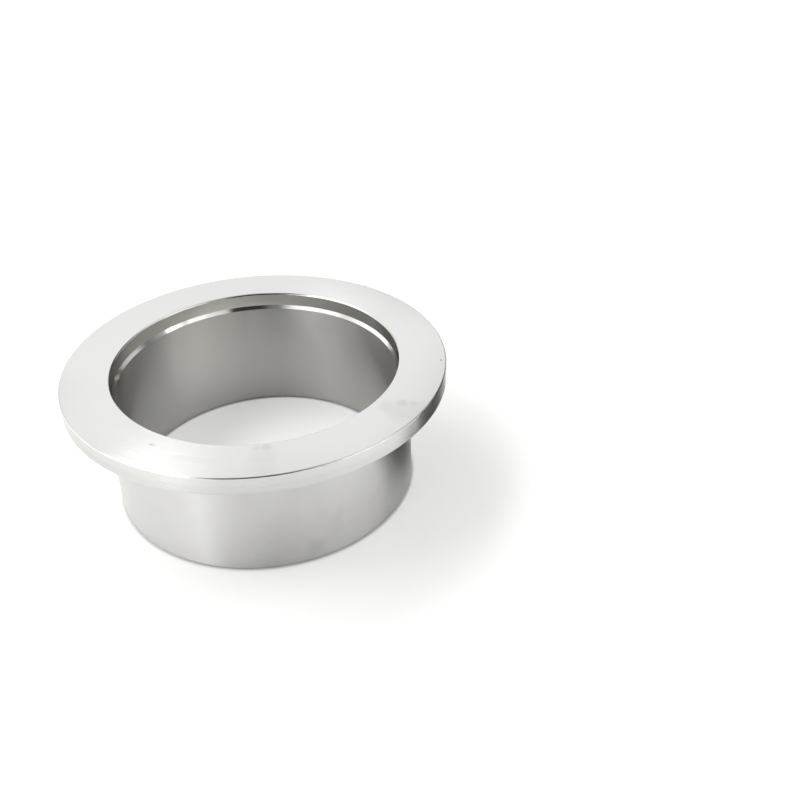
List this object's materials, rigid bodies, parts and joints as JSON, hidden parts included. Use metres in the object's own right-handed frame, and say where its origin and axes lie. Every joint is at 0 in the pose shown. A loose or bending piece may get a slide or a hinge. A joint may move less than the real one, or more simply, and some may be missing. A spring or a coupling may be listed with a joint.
{
  "type": "vacuum weld flange",
  "caption": "Turned stainless flange with a bevelled clamp rim, a flat sealing face with a centring recess, and a short tube stub to weld to a vacuum line.",
  "frame": {"origin": "centre of the bore in the plane of the stub's end face, which the part stands on", "axes": "+Z along the bore's axis, from the stub's end to the sealing face; X and Y are free, because the part is round"},
  "size_m": [0.055, 0.055, 0.02],
  "materials": {
    "turned_steel": "fine turned, satin to bright"
  },
  "bodies": {
    "root": {"weld_flange": "turned_steel"}
  },
  "joints": []
}
